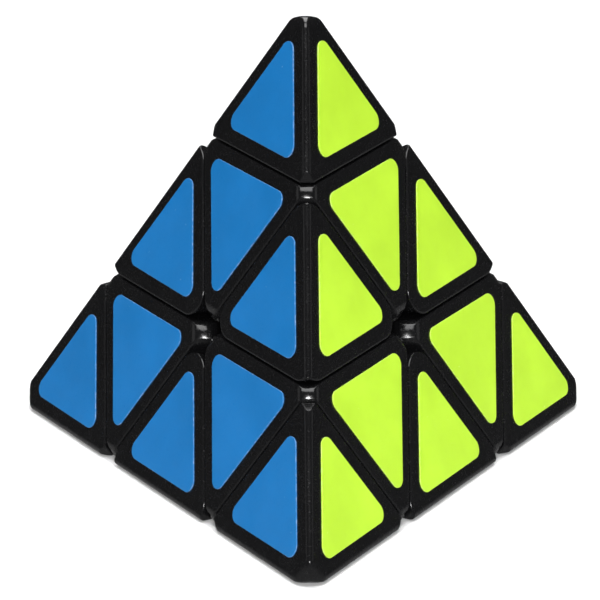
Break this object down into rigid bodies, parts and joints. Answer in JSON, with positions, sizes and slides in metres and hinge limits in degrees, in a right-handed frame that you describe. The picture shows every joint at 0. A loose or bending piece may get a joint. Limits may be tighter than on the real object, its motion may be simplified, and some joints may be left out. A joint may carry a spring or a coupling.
{
  "type": "pyramid twisty puzzle",
  "caption": "Tetrahedral turning puzzle of tips, axial pieces and edge pieces on a four-armed core, with coloured triangular stickers.",
  "frame": {"origin": "centre of the core, where the four turning axes meet", "axes": "+Z from the core through the top corner, -Y towards the front bottom corner, +X towards the right"},
  "size_m": [0.0984, 0.0861, 0.0804],
  "materials": {
    "black_plastic": "satin moulded",
    "core_plastic": "matte moulded",
    "steel": "zinc plated",
    "sticker_blue": "satin vinyl",
    "sticker_yellow": "satin fluorescent vinyl",
    "sticker_red": "satin vinyl",
    "sticker_green": "satin vinyl"
  },
  "bodies": {
    "core": {"core": "core_plastic", "axial_screws": "steel", "axial_springs": "steel", "axial_washers": "steel"},
    "axial_top": {"axial_top": "black_plastic", "sticker_red_axial_top": "sticker_red", "sticker_yellow_axial_top": "sticker_yellow", "sticker_blue_axial_top": "sticker_blue"},
    "axial_front": {"axial_front": "black_plastic", "sticker_green_axial_front": "sticker_green", "sticker_yellow_axial_front": "sticker_yellow", "sticker_blue_axial_front": "sticker_blue"},
    "axial_left": {"axial_left": "black_plastic", "sticker_green_axial_left": "sticker_green", "sticker_red_axial_left": "sticker_red", "sticker_blue_axial_left": "sticker_blue"},
    "axial_right": {"axial_right": "black_plastic", "sticker_green_axial_right": "sticker_green", "sticker_red_axial_right": "sticker_red", "sticker_yellow_axial_right": "sticker_yellow"},
    "tip_top": {"tip_top": "black_plastic", "sticker_red_tip_top": "sticker_red", "sticker_yellow_tip_top": "sticker_yellow", "sticker_blue_tip_top": "sticker_blue"},
    "tip_front": {"tip_front": "black_plastic", "sticker_green_tip_front": "sticker_green", "sticker_yellow_tip_front": "sticker_yellow", "sticker_blue_tip_front": "sticker_blue"},
    "tip_left": {"tip_left": "black_plastic", "sticker_green_tip_left": "sticker_green", "sticker_red_tip_left": "sticker_red", "sticker_blue_tip_left": "sticker_blue"},
    "tip_right": {"tip_right": "black_plastic", "sticker_green_tip_right": "sticker_green", "sticker_red_tip_right": "sticker_red", "sticker_yellow_tip_right": "sticker_yellow"},
    "edge_top_front": {"edge_top_front": "black_plastic", "foot_top_front": "black_plastic", "sticker_yellow_edge_top_front": "sticker_yellow", "sticker_blue_edge_top_front": "sticker_blue"},
    "edge_top_right": {"edge_top_right": "black_plastic", "foot_top_right": "black_plastic", "sticker_red_edge_top_right": "sticker_red", "sticker_yellow_edge_top_right": "sticker_yellow"},
    "edge_top_left": {"edge_top_left": "black_plastic", "foot_top_left": "black_plastic", "sticker_red_edge_top_left": "sticker_red", "sticker_blue_edge_top_left": "sticker_blue"},
    "edge_front_left": {"edge_front_left": "black_plastic", "foot_front_left": "black_plastic", "sticker_green_edge_front_left": "sticker_green", "sticker_blue_edge_front_left": "sticker_blue"},
    "edge_right_front": {"edge_right_front": "black_plastic", "foot_right_front": "black_plastic", "sticker_green_edge_right_front": "sticker_green", "sticker_yellow_edge_right_front": "sticker_yellow"},
    "edge_left_right": {"edge_left_right": "black_plastic", "foot_left_right": "black_plastic", "sticker_green_edge_left_right": "sticker_green", "sticker_red_edge_left_right": "sticker_red"}
  },
  "joints": [
    {"name": "top_layer_turn", "type": "hinge", "parent": "core", "child": "axial_top", "pos_m": [0, 0, 0], "axis": [0, 0, 1], "range_deg": [-240, 120]},
    {"name": "front_layer_turn", "type": "hinge", "parent": "core", "child": "axial_front", "pos_m": [0, 0, 0], "axis": [0, -0.9428, -0.3333], "range_deg": [-240, 120]},
    {"name": "left_layer_turn", "type": "hinge", "parent": "core", "child": "axial_left", "pos_m": [0, 0, 0], "axis": [-0.8165, 0.4714, -0.3333], "range_deg": [-240, 120]},
    {"name": "right_layer_turn", "type": "hinge", "parent": "core", "child": "axial_right", "pos_m": [0, 0, 0], "axis": [0.8165, 0.4714, -0.3333], "range_deg": [-240, 120]},
    {"name": "top_tip_turn", "type": "hinge", "parent": "axial_top", "child": "tip_top", "pos_m": [0, 0, 0], "axis": [0, 0, 1], "continuous": true},
    {"name": "front_tip_turn", "type": "hinge", "parent": "axial_front", "child": "tip_front", "pos_m": [0, 0, 0], "axis": [0, -0.9428, -0.3333], "continuous": true},
    {"name": "left_tip_turn", "type": "hinge", "parent": "axial_left", "child": "tip_left", "pos_m": [0, 0, 0], "axis": [-0.8165, 0.4714, -0.3333], "continuous": true},
    {"name": "right_tip_turn", "type": "hinge", "parent": "axial_right", "child": "tip_right", "pos_m": [0, 0, 0], "axis": [0.8165, 0.4714, -0.3333], "continuous": true},
    {"name": "top_front_edge_with_front", "type": "hinge", "parent": "axial_top", "child": "edge_top_front", "pos_m": [0, 0, 0], "axis": [0, -0.9428, -0.3333], "range_deg": [-240, 120]},
    {"name": "top_left_edge_with_left", "type": "hinge", "parent": "axial_top", "child": "edge_top_left", "pos_m": [0, 0, 0], "axis": [-0.8165, 0.4714, -0.3333], "range_deg": [-240, 120]},
    {"name": "top_right_edge_with_right", "type": "hinge", "parent": "axial_top", "child": "edge_top_right", "pos_m": [0, 0, 0], "axis": [0.8165, 0.4714, -0.3333], "range_deg": [-240, 120]},
    {"name": "front_left_edge_with_front", "type": "hinge", "parent": "axial_left", "child": "edge_front_left", "pos_m": [0, 0, 0], "axis": [0, -0.9428, -0.3333], "range_deg": [-240, 120]},
    {"name": "right_front_edge_with_right", "type": "hinge", "parent": "axial_front", "child": "edge_right_front", "pos_m": [0, 0, 0], "axis": [0.8165, 0.4714, -0.3333], "range_deg": [-240, 120]},
    {"name": "left_right_edge_with_left", "type": "hinge", "parent": "axial_right", "child": "edge_left_right", "pos_m": [0, 0, 0], "axis": [-0.8165, 0.4714, -0.3333], "range_deg": [-240, 120]}
  ],
  "couplings": [
    {"joint": "top_front_edge_with_front", "follows": "front_layer_turn", "ratio": 1},
    {"joint": "top_left_edge_with_left", "follows": "left_layer_turn", "ratio": 1},
    {"joint": "top_right_edge_with_right", "follows": "right_layer_turn", "ratio": 1},
    {"joint": "front_left_edge_with_front", "follows": "front_layer_turn", "ratio": 1},
    {"joint": "right_front_edge_with_right", "follows": "right_layer_turn", "ratio": 1},
    {"joint": "left_right_edge_with_left", "follows": "left_layer_turn", "ratio": 1}
  ]
}
